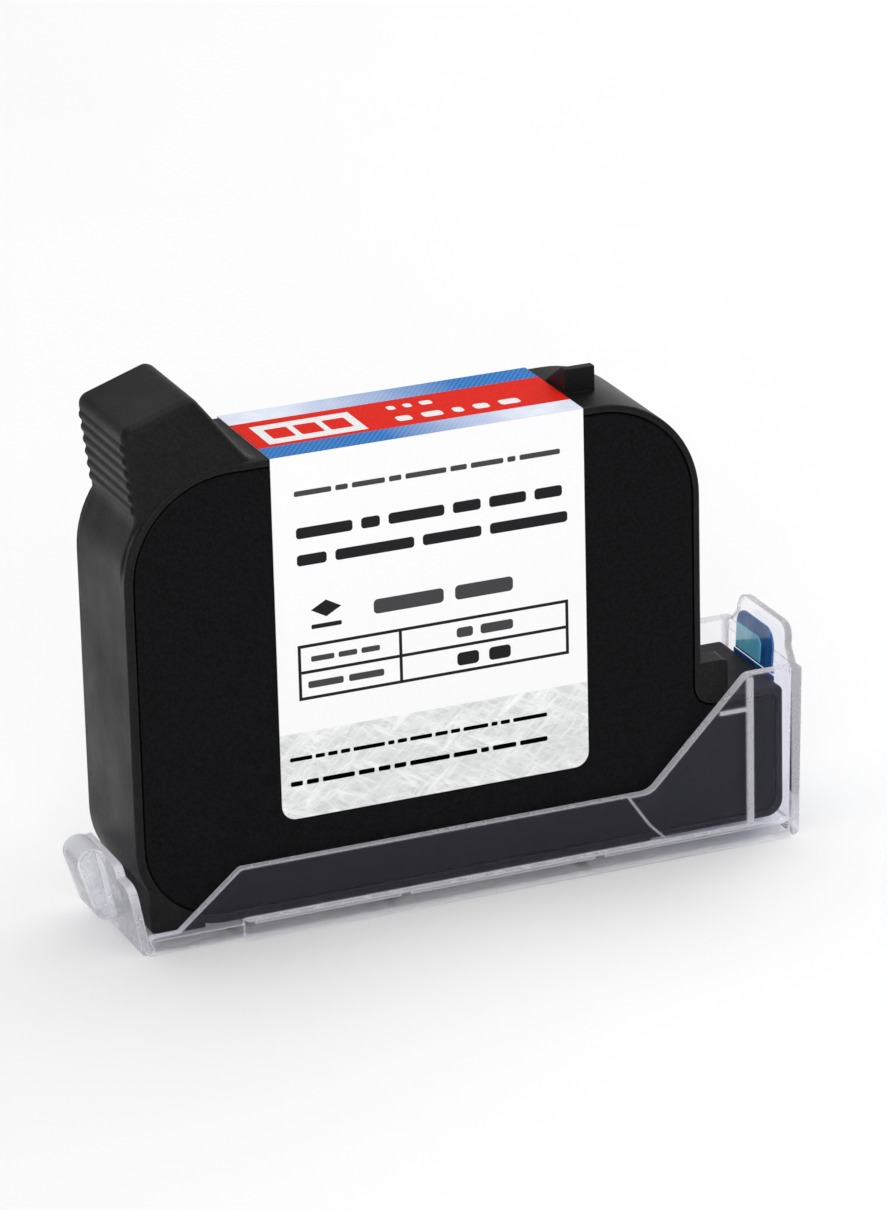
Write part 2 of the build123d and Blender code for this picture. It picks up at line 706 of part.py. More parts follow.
def release_lever():
    """Leaning end wall with its catch hook and finger piece, turning about a round root."""
    plate = block(-LEVER_T / 2, LEVER_T / 2, -LEVER_HALF, LEVER_HALF, 0, LEVER_SIDE_H)
    plate = fillet(plate.edges().filter_by(Axis.X).group_by(Axis.Z)[-1], LEVER_SIDE_R)
    middle = block(-LEVER_T / 2, LEVER_T / 2, -LEVER_MID_HALF, LEVER_MID_HALF, LEVER_MID_LOW, LEVER_MID_H)
    middle = fillet(middle.edges().filter_by(Axis.X).group_by(Axis.Z)[-1], LEVER_MID_R)
    low, high = LEVER_HOOK_H
    tip = LEVER_T / 2 + LEVER_HOOK_OUT
    hook = outline([
        (0, low, 0),
        (tip, low, 0),
        (tip, low + LEVER_HOOK_FLAT, 0),
        (LEVER_T / 2, high, 0),
        (0, high, 0),
    ])
    wall = plate + middle + slab(hook, -LEVER_HOOK_HALF, LEVER_HOOK_HALF)
    lever = Pos(LEVER_AXIS[0], 0, LEVER_AXIS[1]) * Rot(0, -LEVER_LEAN, 0) * wall
    lever += rod_y(*LEVER_AXIS, LEVER_KNUCKLE_R, LEVER_HALF)
    return lever + finger_piece()


def finger_piece():
    """Round-ended finger piece, recessed on both sides to leave a rim and a web."""
    run = (FINGER_TOP[0] - FINGER_ROOT[0], FINGER_TOP[1] - FINGER_ROOT[1])
    length = (run[0] ** 2 + run[1] ** 2) ** 0.5
    middle = ((FINGER_TOP[0] + FINGER_ROOT[0]) / 2, (FINGER_TOP[1] + FINGER_ROOT[1]) / 2)
    turn = Vector(1, 0).get_angle(Vector(run[0], run[1]))
    solid = Pos(*middle) * Rot(0, 0, turn) * SlotCenterToCenter(length, 2 * FINGER_R)
    recess = Pos(*middle) * Rot(0, 0, turn) * SlotCenterToCenter(length, 2 * (FINGER_R - FINGER_RIM))
    piece = slab(solid, -FINGER_HALF, FINGER_HALF)
    for side in (-1, 1):
        near, far = sorted((side * FINGER_WEB / 2, side * (FINGER_HALF + SINK)))
        piece -= slab(recess, near, far)
    return piece


# ---------------------------------------------------------------- all nodes
save("clip_tray", clip_tray())
save("release_lever", release_lever())
save("cartridge_frame", cartridge_frame())
save("inner_frame", inner_frame())
save("fill_port_plug", fill_port_plug())
save("printhead_die", printhead_die())
save("nozzle_plate", nozzle_plate())
save("flex_circuit", flex_circuit())
save("contact_pads", contact_pads())
save("encapsulant_beads", encapsulant_beads())
save("label", label())
save("nozzle_tape", nozzle_tape())
save("pull_tab", pull_tab())
save("pull_tab_panel", pull_tab_panel())
save("bow_spring", bow_spring())
for end, sign in (("front", -1), ("back", 1)):
    save("side_cover_" + end, side_cover(sign))
    save("bag_film_" + end, bag_film(sign))
    save("pressure_plate_" + end, pressure_plate(sign))
    save("edge_guard_" + end, edge_guard(sign))
    save("filter_screen_" + end, filter_screen(sign))
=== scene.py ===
import math

import bmesh
import bpy
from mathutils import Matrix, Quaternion, Vector


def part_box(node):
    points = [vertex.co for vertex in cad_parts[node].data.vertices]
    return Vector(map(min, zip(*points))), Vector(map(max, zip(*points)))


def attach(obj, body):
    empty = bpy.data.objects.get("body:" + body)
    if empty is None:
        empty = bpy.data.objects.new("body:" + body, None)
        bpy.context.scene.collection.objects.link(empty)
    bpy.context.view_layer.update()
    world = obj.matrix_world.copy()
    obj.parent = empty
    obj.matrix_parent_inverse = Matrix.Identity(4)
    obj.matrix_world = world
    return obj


# A thermal inkjet cartridge for date coding, in its clear clip. Metres, in the row frame:
# +X towards the printhead foot, -Y the labelled front, +Z up.

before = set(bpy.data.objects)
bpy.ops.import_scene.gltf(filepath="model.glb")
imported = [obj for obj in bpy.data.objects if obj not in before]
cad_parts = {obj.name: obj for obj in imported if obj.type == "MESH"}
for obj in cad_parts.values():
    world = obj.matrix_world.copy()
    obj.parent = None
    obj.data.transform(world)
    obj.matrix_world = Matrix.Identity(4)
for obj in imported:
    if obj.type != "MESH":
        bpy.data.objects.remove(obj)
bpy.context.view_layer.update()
MM = 0.001

# ---- camera ----
CAMERA_AZIMUTH = -22.5
CAMERA_ELEVATION = 20.78
CAMERA_ROLL = -1.44
CAMERA_TARGET = Vector((7.3, 11.54, 32.43)) * MM
CAMERA_DISTANCE = 802.3 * MM
SENSOR_MM = 36.0
LENS_MM = 178.5

# ---- stage and light: each lamp's name, place, size and power ----
FLOOR_HALF = 3.0
FLOOR_CELLS = 8
WORLD_STRENGTH = 0.5
LIGHT_AIM = Vector((0, 0, 0.03))
LAMPS = (
    ("top", (0.1, 0.1, 1.5), 1.5, 12.5),
    ("key", (-0.5, -1.2, 0.5), 0.8, 6.5),
    ("back", (0.9, 0.7, 0.5), 0.7, 2.5),
)

# ---- printed artwork, in mm on the label's own faces ----
INK_SINK = 0.01
INK_RISE = 0.015
OVERPRINT_RISE = 0.03
SILVER_TOP = 26.8
LABEL_CORNER = 2.0
RED_FRONT = -5.2
RED_BACK = 5.0
RED_PLATE = (-22.7, -9.0, -4.2, 3.2)

CORNER_STEPS = 6

# ---- clear clip: faces given a painted glow (pale frosting standing in for the light they catch), and heights over which it comes in ----
RIB_FACE = 11.03 * MM
RIB_FADE = 0.04 * MM
END_FACE = 48.1 * MM
END_FADE = 0.3 * MM
FLOOR_FADE = (2.3 * MM, 2.6 * MM)
FLANGE_FADE = (2.9 * MM, 3.1 * MM)
SHADOW_TINT = (0.95, 0.95, 0.97)

# ---- fine patterns, as wave texture scales ----
WEAVE_SCALE = 520.0
WEAVE_TURN = 0.62
MESH_SCALE = 1600.0
TRACE_SCALE = 650.0


# ---------------------------------------------------------------- node helpers
def put(made, kind, inputs=None, **settings):
    """Adds a node. Inputs are values, or sockets to link from."""
    node = made.node_tree.nodes.new(kind)
    for name, value in settings.items():
        setattr(node, name, value)
    for key, value in (inputs or {}).items():
        if isinstance(value, bpy.types.NodeSocket):
            made.node_tree.links.new(value, node.inputs[key])
        else:
            node.inputs[key].default_value = value
    return node


def new_material(name, colour, roughness, **sockets):
    """A material and its Principled shader, with constants on the shader's own sockets."""
    made = bpy.data.materials.new(name)
    made.use_nodes = True
    shader = made.node_tree.nodes["Principled BSDF"]
    shader.inputs["Base Color"].default_value = (*colour, 1)
    shader.inputs["Roughness"].default_value = roughness
    for socket, value in sockets.items():
        shader.inputs[socket.replace("_", " ")].default_value = value
    return made, shader


def drive(made, shader, socket, source):
    made.node_tree.links.new(source, shader.inputs[socket])


def place(made, stretch=(1, 1, 1), turn=(0, 0, 0)):
    """Position in the row frame, turned and then stretched along its axes."""
    here = put(made, "ShaderNodeTexCoord").outputs["Object"]
    turned = put(made, "ShaderNodeMapping", {"Vector": here, "Rotation": turn}).outputs[0]
    return put(made, "ShaderNodeMapping", {"Vector": turned, "Scale": stretch}).outputs[0]


def noise(made, point, per_mm, detail=4.0, rough=0.5, distortion=0.0):
    """Noise with about this many features per millimetre, from 0 to 1."""
    values = {
        "Vector": point,
        "Scale": per_mm / MM,
        "Detail": detail,
        "Roughness": rough,
        "Distortion": distortion,
    }
    return put(made, "ShaderNodeTexNoise", values).outputs["Fac"]


def remap(made, value, low, high, from_low=0.3, from_high=0.7):
    """Value rescaled so that the first pair of limits becomes the second, clamped."""
    values = {"Value": value, "From Min": from_low, "From Max": from_high, "To Min": low, "To Max": high}
    return put(made, "ShaderNodeMapRange", values).outputs["Result"]


def mathed(made, operation, a, b):
    return put(made, "ShaderNodeMath", {0: a, 1: b}, operation=operation).outputs[0]


def mixed(made, factor, a, b, blend="MIX"):
    """Mix of two colours, each a triple or a socket."""
    a = a if isinstance(a, bpy.types.NodeSocket) else (*a, 1)
    b = b if isinstance(b, bpy.types.NodeSocket) else (*b, 1)
    node = put(made, "ShaderNodeMix", {0: factor, 6: a, 7: b}, data_type="RGBA", blend_type=blend)
    return node.outputs[2]


def bumped(made, height, distance_mm, normal=None):
    values = {"Height": height, "Distance": distance_mm * MM, "Strength": 1.0}
    if normal is not None:
        values["Normal"] = normal
    return put(made, "ShaderNodeBump", values).outputs["Normal"]


def soft_edges(made, radius_mm):
    """Normal that rounds sharp edges a little, as a moulding has them."""
    return put(made, "ShaderNodeBevel", {"Radius": radius_mm * MM}, samples=6).outputs["Normal"]


def edge_mask(made, radius_mm, low, high):
    """One along the sharp edges, fading to nothing over the flat faces."""
    true = put(made, "ShaderNodeNewGeometry").outputs["Normal"]
    pair = {0: true, 1: soft_edges(made, radius_mm)}
    alike = put(made, "ShaderNodeVectorMath", pair, operation="DOT_PRODUCT").outputs["Value"]
    return remap(made, mathed(made, "SUBTRACT", 1.0, alike), 0, 1, low, high)


def parts_of(made, vector):
    """The three parts of a vector."""
    return put(made, "ShaderNodeSeparateXYZ", {0: vector}).outputs


def painted_glow_places(made, edge_mm):
    """Where the clear clip gets a painted glow, pale frosted bands standing in for light caught in it:
    edges, upward faces, proud ribs and the end wall's sides.
    """
    x, y, z = parts_of(made, place(made))
    facing = parts_of(made, put(made, "ShaderNodeNewGeometry").outputs["Normal"])
    up = facing[2]
    sideways = mathed(made, "ABSOLUTE", facing[1], 0.0)
    above_floor = remap(made, z, 0, 1, *FLOOR_FADE)
    tops = mathed(made, "MULTIPLY", remap(made, up, 0, 0.68, 0.3, 0.55), above_floor)
    depth = mathed(made, "ABSOLUTE", y, 0.0)
    above_flange = remap(made, z, 0, 0.75, *FLANGE_FADE)
    ribs = mathed(made, "MULTIPLY", remap(made, depth, 0, 1, RIB_FACE - RIB_FADE, RIB_FACE), above_flange)
    wall = remap(made, x, 0, 0.7, END_FACE - END_FADE, END_FACE)
    end = mathed(made, "MULTIPLY", wall, remap(made, sideways, 0, 1, 0.4, 0.7))
    places = mathed(made, "MAXIMUM", edge_mask(made, edge_mm, 0.02, 0.2), tops)
    return mathed(made, "MAXIMUM", mathed(made, "MAXIMUM", places, ribs), end)


def lit_through(made, shader):
    """Lets lamp light pass through a clear part, a little tinted."""
    path = put(made, "ShaderNodeLightPath").outputs["Is Shadow Ray"]
    open_way = put(made, "ShaderNodeBsdfTransparent", {"Color": (*SHADOW_TINT, 1)}).outputs[0]
    both = put(made, "ShaderNodeMixShader", {0: path, 1: shader.outputs[0], 2: open_way}).outputs[0]
    made.node_tree.links.new(both, made.node_tree.nodes["Material Output"].inputs["Surface"])


# ---------------------------------------------------------------- materials
def moulded_black(name, colour, roughness, specular, grain_mm, streaks):
    """Black moulding: spark-eroded texture, faint upright draw marks, patchy gloss, and a painted highlight
    that lightens the colour along the edges.
    """
    made, shader = new_material(name, colour, roughness, Specular_IOR_Level=specular)
    texture = noise(made, place(made), 3.2, detail=6, rough=0.65)
    streak = noise(made, place(made, (1, 1, 0.05)), 2.0, detail=4)
    patches = noise(made, place(made), 0.07, detail=5, rough=0.6)
    height = mathed(made, "ADD", texture, mathed(made, "MULTIPLY", streak, streaks))
    drive(made, shader, "Normal", bumped(made, height, grain_mm, soft_edges(made, 0.25)))
    drive(made, shader, "Roughness", remap(made, patches, roughness - 0.1, roughness + 0.12))
    # Painted highlight: the colour is lighter along sharp edges, standing in for the light that the rims
    # catch.
    painted_edge_highlight = mathed(made, "MULTIPLY", edge_mask(made, 0.3, 0.02, 0.3), remap(made, texture, 0, 1, 0.35, 0.6))
    darker = tuple(c * 0.5 for c in colour)
    lighter = tuple(c * 2.2 for c in colour)
    highlight_colour = tuple(c * 4 + 0.006 for c in colour)
    mottled = mixed(made, remap(made, texture, 0, 1, 0.35, 0.65), darker, lighter)
    drive(made, shader, "Base Color", mixed(made, painted_edge_highlight, mottled, highlight_colour))
    return made


def clear_moulding(name, clear, glow_tint, smoothness, transmission, edge_mm):
    """Clear polystyrene with a lavender cast, moulding ripple, scuffs, and a painted glow: edges and upward
    faces frosted pale to stand in for the light they catch.
    """
    made, shader = new_material(name, clear, 0.04, IOR=1.28)
    shader.inputs["Specular Tint"].default_value = (0.76, 0.74, 1, 1)
    ripple = noise(made, place(made, (1, 1, 0.5)), 0.1, detail=2, distortion=0.5)
    haze = noise(made, place(made), 0.35, detail=5, rough=0.6)
    scuffs = noise(made, place(made, (0.12, 1, 1), (0, 0.35, 0)), 1.1, detail=5, rough=0.7)
    # Painted highlight: pale, less clear bands where the clip's edges, tops and ribs catch light.
    edge = painted_glow_places(made, edge_mm)
    drive(made, shader, "Normal", bumped(made, ripple, 0.16, soft_edges(made, 0.25)))
    drive(made, shader, "Base Color", mixed(made, edge, clear, glow_tint))
    smooth = mathed(made, "ADD", remap(made, haze, *smoothness), remap(made, scuffs, 0, 0.1, 0.56, 0.75))
    drive(made, shader, "Roughness", mathed(made, "ADD", smooth, mathed(made, "MULTIPLY", edge, 0.3)))
    drive(made, shader, "Transmission Weight", remap(made, edge, transmission, 0.35, 0, 1))
    lit_through(made, shader)
    return made


def coated_paper():
    """Glossy white label stock with a faint fibre, and painted shade that greys it along its cut edges."""
    made, shader = new_material("coated_paper", (0.93, 0.93, 0.93), 0.34, Specular_IOR_Level=0.3)
    fibre = noise(made, place(made), 3.0, detail=5, rough=0.65)
    clouds = noise(made, place(made), 0.12, detail=3)
    stock = mixed(made, remap(made, fibre, 0, 1), (0.92, 0.92, 0.925), (0.95, 0.95, 0.95))
    # Painted shade: the white stock turns grey along the label's edges.
    drive(made, shader, "Base Color", mixed(made, edge_mask(made, 0.08, 0.02, 0.3), stock, (0.6, 0.6, 0.6)))
    drive(made, shader, "Roughness", remap(made, clouds, 0.28, 0.4))
    drive(made, shader, "Normal", bumped(made, fibre, 0.004))
    return made


def printed_ink(name, colour, roughness=0.4, specular=0.12):
    """Flat ink with the small density changes of a printed solid."""
    made, shader = new_material(name, colour, roughness, Specular_IOR_Level=specular)
    density = noise(made, place(made), 4.0, detail=4)
    fuller = tuple(c * 0.8 for c in colour)
    drive(made, shader, "Base Color", mixed(made, remap(made, density, 0, 1), colour, fuller))
    drive(made, shader, "Roughness", remap(made, density, roughness - 0.05, roughness + 0.06))
    return made


def woven_blue(name, strong_x, pale_x, pale):
    """Blue weave pattern that fades to a pale tint along X."""
    made, shader = new_material(name, (0.02, 0.14, 0.45), 0.4, Specular_IOR_Level=0.1)
    threads = []
    for turn in (WEAVE_TURN, -WEAVE_TURN):
        values = {"Vector": place(made, turn=(0, 0, turn)), "Scale": WEAVE_SCALE}
        threads.append(put(made, "ShaderNodeTexWave", values).outputs["Fac"])
    weave = mathed(made, "MULTIPLY", threads[0], threads[1])
    blue = mixed(made, remap(made, weave, 0, 1, 0.08, 0.75), (0.008, 0.12, 0.42), (0.04, 0.3, 0.7))
    along = parts_of(made, place(made))[0]
    fade = remap(made, along, 0, 1, strong_x * MM, pale_x * MM)
    cloud = noise(made, place(made), 0.3, detail=3)
    uneven = mathed(made, "MULTIPLY", fade, remap(made, cloud, 0.8, 1.0))
    drive(made, shader, "Base Color", mixed(made, uneven, blue, pale))
    drive(made, shader, "Roughness", remap(made, weave, 0.3, 0.42, 0, 1))
    return made


def crumpled_grey():
    """Printed picture of crumpled, fibrous silver paper."""
    made, shader = new_material("crumpled_grey", (0.55, 0.56, 0.56), 0.35, Specular_IOR_Level=0.3)
    shades = []
    for turn, size in ((0.75, 0.5), (-0.55, 0.62), (0.1, 0.8)):
        point = place(made, (0.28, 1, 1.7), (0, turn, 0))
        shades.append(noise(made, point, size, detail=6, rough=0.66, distortion=1.1))
    streaks = mathed(made, "MULTIPLY", mathed(made, "MAXIMUM", shades[0], shades[1]), 0.75)
    fibres = mathed(made, "ADD", streaks, mathed(made, "MULTIPLY", shades[2], 0.25))
    fold = noise(made, place(made, (0.6, 1, 1)), 0.14, detail=3)
    tone = mathed(made, "MULTIPLY", remap(made, fibres, 0, 1, 0.42, 0.66), remap(made, fold, 0.75, 1.1))
    drive(made, shader, "Base Color", mixed(made, tone, (0.62, 0.63, 0.63), (0.97, 0.98, 0.98)))
    drive(made, shader, "Roughness", remap(made, fibres, 0.3, 0.42))
    return made


def glossy_film(name, colour, darker, transmission=0.25, coat=0.4):
    """Coloured film with adhesive ripples behind it."""
    made, shader = new_material(name, colour, 0.16, Transmission_Weight=transmission, Coat_Weight=coat)
    ripple = noise(made, place(made, (1, 1, 0.4)), 0.5, detail=3, distortion=0.8)
    drive(made, shader, "Base Color", mixed(made, remap(made, ripple, 0, 1), colour, darker))
    drive(made, shader, "Roughness", remap(made, ripple, 0.1, 0.24))
    drive(made, shader, "Normal", bumped(made, ripple, 0.03))
    return made


def rolled_metal(name, colour, stretch, roughness=0.3):
    """Metal strip with rolling lines along one direction."""
    made, shader = new_material(name, colour, roughness, Metallic=1.0)
    lines = noise(made, place(made, stretch), 3.0, detail=4)
    drive(made, shader, "Roughness", remap(made, lines, roughness - 0.08, roughness + 0.12))
    drive(made, shader, "Normal", bumped(made, lines, 0.004))
    darker = tuple(c * 0.85 for c in colour)
    drive(made, shader, "Base Color", mixed(made, remap(made, lines, 0, 1), colour, darker))
    return made


def woven_mesh():
    """Stainless filter cloth."""
    made, shader = new_material("woven_mesh", (0.5, 0.5, 0.5), 0.35, Metallic=1.0)
    warp = put(made, "ShaderNodeTexWave", {"Vector": place(made), "Scale": MESH_SCALE}, bands_direction="X")
    weft = put(made, "ShaderNodeTexWave", {"Vector": place(made), "Scale": MESH_SCALE}, bands_direction="Z")
    cloth = mathed(made, "MAXIMUM", warp.outputs["Fac"], weft.outputs["Fac"])
    drive(made, shader, "Base Color", mixed(made, cloth, (0.12, 0.12, 0.12), (0.62, 0.62, 0.62)))
    drive(made, shader, "Normal", bumped(made, cloth, 0.03))
    return made


def bag_laminate():
    """Clear laminate of the ink bag, with soft creases."""
    made, shader = new_material("bag_laminate", (0.8, 0.8, 0.84), 0.2, Transmission_Weight=0.6)
    creases = noise(made, place(made), 0.25, detail=5, distortion=1.5)
    drive(made, shader, "Normal", bumped(made, creases, 0.12))
    drive(made, shader, "Roughness", remap(made, creases, 0.12, 0.3))
    return made


def polyimide_film():
    """Amber film with copper traces showing through it."""
    made, shader = new_material("polyimide_film", (0.55, 0.26, 0.05), 0.25, Coat_Weight=0.3)
    values = {"Vector": place(made), "Scale": TRACE_SCALE}
    traces = put(made, "ShaderNodeTexWave", values, bands_direction="Y")
    lines = remap(made, traces.outputs["Fac"], 0, 1, 0.45, 0.6)
    drive(made, shader, "Base Color", mixed(made, lines, (0.5, 0.22, 0.04), (0.75, 0.38, 0.12)))
    drive(made, shader, "Normal", bumped(made, lines, 0.012))
    return made


def silicon_die():
    """Polished silicon, a little uneven in gloss."""
    made, shader = new_material("silicon_die", (0.16, 0.17, 0.21), 0.12, Metallic=0.6)
    grain = noise(made, place(made), 5.0, detail=3)
    drive(made, shader, "Roughness", remap(made, grain, 0.08, 0.2))
    return made


def plain_moulding(name, colour, roughness):
    """Inner moulding as it leaves the tool."""
    made, shader = new_material(name, colour, roughness)
    texture = noise(made, place(made), 5.0, detail=4)
    flow = noise(made, place(made), 0.12, detail=4)
    drive(made, shader, "Normal", bumped(made, texture, 0.01))
    drive(made, shader, "Roughness", remap(made, flow, roughness - 0.07, roughness + 0.07))
    darker = tuple(c * 0.85 for c in colour)
    drive(made, shader, "Base Color", mixed(made, remap(made, flow, 0, 1), colour, darker))
    return made


def pale_floor():
    """Matt studio floor."""
    made, shader = new_material("pale_floor", (0.93, 0.93, 0.93), 0.7, Specular_IOR_Level=0.2)
    drive(made, shader, "Roughness", remap(made, noise(made, place(made), 0.02), 0.65, 0.75))
    return made


# ---------------------------------------------------------------- CAD finishes
def finish_cad_nodes():
    """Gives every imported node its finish."""
    steel = rolled_metal("spring_steel", (0.62, 0.62, 0.64), (0.05, 1, 1))
    black = moulded_black(
        "black_moulding", (0.0042, 0.0042, 0.0048),
        roughness=0.43, specular=0.14, grain_mm=0.06, streaks=0.3)
    cover = moulded_black(
        "black_cover", (0.003, 0.003, 0.0036),
        roughness=0.42, specular=0.05, grain_mm=0.012, streaks=0.0)
    # Both clear mouldings carry a painted glow, paler along their edges and upward faces.
    clear = clear_moulding(
        "clear_moulding", clear=(0.93, 0.925, 0.97), glow_tint=(0.82, 0.81, 0.88),
        smoothness=(0.02, 0.1), transmission=1.0, edge_mm=0.6)
    hazed = clear_moulding(
        "hazed_moulding", clear=(0.84, 0.84, 0.88), glow_tint=(0.8, 0.8, 0.85),
        smoothness=(0.14, 0.3), transmission=0.78, edge_mm=0.4)
    gold = rolled_metal("gold_plate", (0.9, 0.66, 0.28), (1, 1, 1), 0.24)
    film = bag_laminate()
    mesh = woven_mesh()
    guard = plain_moulding("guard_plastic", (0.65, 0.65, 0.62), 0.45)
    finishes = {
        "clip_tray": clear,
        "release_lever": hazed,
        "cartridge_frame": black,
        "side_cover_front": cover,
        "side_cover_back": cover,
        "inner_frame": plain_moulding("inner_moulding", (0.1, 0.1, 0.11), 0.5),
        "bag_film_front": film,
        "bag_film_back": film,
        "pressure_plate_front": steel,
        "pressure_plate_back": steel,
        "bow_spring": steel,
        "edge_guard_front": guard,
        "edge_guard_back": guard,
        "filter_screen_front": mesh,
        "filter_screen_back": mesh,
        "fill_port_plug": rolled_metal("plug_steel", (0.6, 0.6, 0.62), (1, 1, 1), 0.18),
        "printhead_die": silicon_die(),
        "nozzle_plate": gold,
        "contact_pads": gold,
        "flex_circuit": polyimide_film(),
        "encapsulant_beads": plain_moulding("cured_sealant", (0.015, 0.015, 0.015), 0.25),
        "label": coated_paper(),
        "nozzle_tape": glossy_film("blue_tape", (0.02, 0.2, 0.55), (0.008, 0.08, 0.32)),
        "pull_tab": glossy_film("blue_tab", (0.012, 0.22, 0.62), (0.006, 0.08, 0.34)),
        # Painted light: the bright cyan sheet on the tab's inner face stands in for light shining through
        # the blue tab from behind.
        "pull_tab_panel": glossy_film(
            "cyan_backlight_panel", (0.24, 0.82, 1.0), (0.14, 0.66, 1.0), transmission=0.0, coat=1.0),
    }
    for name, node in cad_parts.items():
        for held in node.material_slots:
            held.material = finishes[name]


# ---------------------------------------------------------------- printed label
LABEL_LOW, LABEL_HIGH = (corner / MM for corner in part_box("label"))


def on_front(u, v, w):
    """Front of the label: u along X, v up, w out of the paper, all in mm."""
    return Vector((u, LABEL_LOW.y - w, v)) * MM


def on_top(u, v, w):
    """Top of the label: u along X, v along Y."""
    return Vector((u, v, LABEL_HIGH.z + w)) * MM


def on_back(u, v, w):
    """Back of the label, read from behind: u runs towards -X."""
    return Vector((-u, LABEL_HIGH.y + w, v)) * MM


def rounded(u0, u1, v0, v1, radii):
    """Outline of a rectangle. Radii are for its low left, low right, high right and high left corners."""
    corners = [(u0, v0, 1, 1), (u1, v0, -1, 1), (u1, v1, -1, -1), (u0, v1, 1, -1)]
    points = []
    for turn, ((u, v, du, dv), radius) in enumerate(zip(corners, radii)):
        steps = CORNER_STEPS if radius > 0 else 0
        cu = u + du * radius
        cv = v + dv * radius
        for i in range(steps + 1):
            angle = math.pi + turn * math.pi / 2 + (i / steps if steps else 0) * math.pi / 2
            points.append((cu + radius * math.cos(angle), cv + radius * math.sin(angle)))
    return points


def bar(u0, u1, v_middle, height, radius):
    """Bar about a middle line, its corners never wider than the bar."""
    corner = min(radius, height / 2, (u1 - u0) / 2)
    return rounded(u0, u1, v_middle - height / 2, v_middle + height / 2, [corner] * 4)


def print_sheets(name, outlines, face, material, rise=INK_RISE):
    """One thin closed ink layer for each outline, as one piece that rides on the cartridge."""
    mesh = bmesh.new()
    for outline in outlines:
        low = [mesh.verts.new(face(u, v, -INK_SINK)) for u, v in outline]
        high = [mesh.verts.new(face(u, v, rise)) for u, v in outline]
        mesh.faces.new(high)
        mesh.faces.new(low[::-1])
        for i in range(len(outline)):
            j = (i + 1) % len(outline)
            mesh.faces.new((low[i], low[j], high[j], high[i]))
    bmesh.ops.recalc_face_normals(mesh, faces=mesh.faces)
    piece = from_bmesh(name, mesh, material)
    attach(piece, "cartridge")


def linked(name, data):
    """Object that holds this data, in the scene."""
    made = bpy.data.objects.new(name, data)
    bpy.context.scene.collection.objects.link(made)
    return made


def from_bmesh(name, mesh, material):
    """Object made from a bmesh, with one material."""
    data = bpy.data.meshes.new(name)
    mesh.to_mesh(data)
    mesh.free()
    data.materials.append(material)
    return linked(name, data)


def word_bars(u0, u1, v, height, lengths):
    """A line of blank words: rounded bars with gaps between them, filling the line."""
    gap = height * 0.8
    unit = (u1 - u0 - gap * (len(lengths) - 1)) / sum(lengths)
    bars = []
    u = u0
    for length in lengths:
        bars.append(bar(u, u + length * unit, v, height, height * 0.3))
        u += length * unit + gap
    return bars


def rule(u0, u1, v0, v1):
    return rounded(u0, u1, v0, v1, [0, 0, 0, 0])


def table_lines(u0, u1, v0, v1, v_middle, u_divider, t):
    """Border and dividers of a blank two-row table."""
    half = t / 2
    return [
        rule(u0 - half, u1 + half, v1 - half, v1 + half),
        rule(u0 - half, u1 + half, v0 - half, v0 + half),
        rule(u0 - half, u0 + half, v0 + half, v1 - half),
        rule(u1 - half, u1 + half, v0 + half, v1 - half),
        rule(u0 + half, u1 - half, v_middle - half, v_middle + half),
        rule(u_divider - half, u_divider + half, v_middle + half, v1 - half),
        rule(u_divider - half, u_divider + half, v0 + half, v_middle - half),
    ]


def plain_sign(u, v, half):
    """Plain sign: a flat lozenge over a short bar."""
    rise = half * 0.55
    return [
        [(u - half, v), (u, v - rise), (u + half, v), (u, v + rise)],
        bar(u - half, u + half, v - 2 * rise, 0.6, 0.15),
    ]


def front_print(black, grey, pale, silver):
    band = [rounded(LABEL_LOW.x, LABEL_HIGH.x, LABEL_LOW.z, SILVER_TOP, [LABEL_CORNER, LABEL_CORNER, 0, 0])]
    print_sheets("front_silver_band", band, on_front, silver)
    small = word_bars(-21.6, 15.5, 59.5, 0.72, [9, 3, 8, 3, 10, 4, 8, 2, 10])
    print_sheets("front_small_line", small, on_front, grey)
    heavy = word_bars(-21.5, 15.7, 54.1, 1.5, [6, 2, 6, 3, 4, 3])
    heavy += word_bars(-21.5, 16.4, 50.4, 1.5, [3, 8, 6, 8])
    print_sheets("front_heavy_lines", heavy, on_front, black)
    print_sheets("front_heading", word_bars(-11.1, 8.5, 42.4, 2.0, [6, 5]), on_front, grey)
    print_sheets("front_sign", plain_sign(-17.7, 43.4, 2.1), on_front, black)
    table = table_lines(-21.6, 16.1, 31.4, 38.6, 35.0, -7.5, 0.42)
    print_sheets("front_table", table, on_front, black)
    names = word_bars(-20.0, -10.4, 36.7, 0.75, [5, 4, 4])
    names += word_bars(-20.5, -9.9, 33.2, 0.95, [5, 5])
    print_sheets("front_table_names", names, on_front, grey)
    print_sheets("front_table_values", word_bars(0.4, 8.4, 36.8, 1.35, [2, 4]), on_front, grey)
    print_sheets("front_table_totals", word_bars(0.4, 8.0, 33.1, 1.8, [3, 3]), on_front, black)
    notes = word_bars(-23.4, 13.0, 23.2, 0.56, [7, 3, 3, 3, 10, 2, 3, 7, 4, 3, 8, 2, 3, 11])
    notes += word_bars(-23.4, 13.0, 19.8, 0.68, [3, 3, 8, 4, 3, 3, 10, 6, 2, 6, 7])
    print_sheets("front_notes", notes, on_front, pale)


